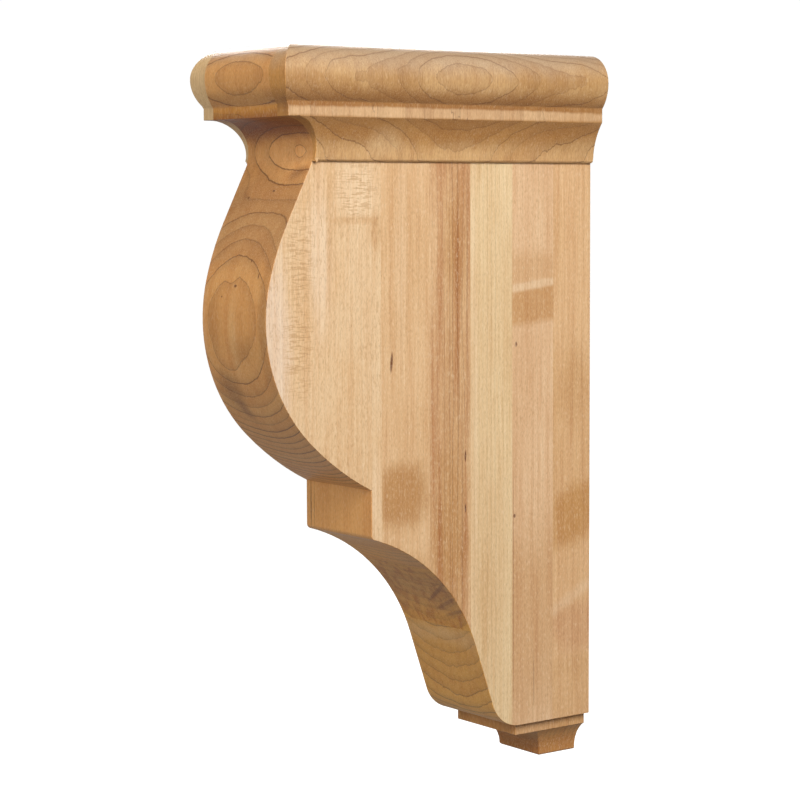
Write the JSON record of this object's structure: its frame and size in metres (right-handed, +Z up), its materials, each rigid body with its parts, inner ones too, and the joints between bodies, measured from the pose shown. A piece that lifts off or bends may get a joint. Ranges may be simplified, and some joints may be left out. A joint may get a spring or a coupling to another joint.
{
  "type": "wooden corbel bracket",
  "caption": "Maple corbel bracket glued up from upright staves, with a bullnose cap, full belly, square step, long hollow and small pendant.",
  "frame": {"origin": "middle of the flat back, which sits against the wall: halfway up, halfway across", "axes": "+Z up along the bracket's height, +Y into the wall, the belly and nose face -Y, +X across the width"},
  "size_m": [0.082, 0.1961, 0.3556],
  "materials": {
    "wall_stave": "warm maple with darker patches, clear satin",
    "second_stave": "pale pinkish maple, clear satin",
    "third_stave": "palest straw maple, clear satin",
    "fourth_stave": "pinkish-brown maple with dark lines, clear satin",
    "fifth_stave": "straw maple, clear satin",
    "front_stave": "flat-sawn maple with fine ray flecks on its sides, clear satin",
    "left_cap_moulding": "cross-cut maple, clear satin",
    "right_cap_moulding": "cross-cut maple, clear satin"
  },
  "bodies": {
    "root": {"wall_stave": "wall_stave", "second_stave": "second_stave", "third_stave": "third_stave", "fourth_stave": "fourth_stave", "fifth_stave": "fifth_stave", "front_stave": "front_stave", "left_cap_moulding": "left_cap_moulding", "right_cap_moulding": "right_cap_moulding"}
  },
  "joints": []
}
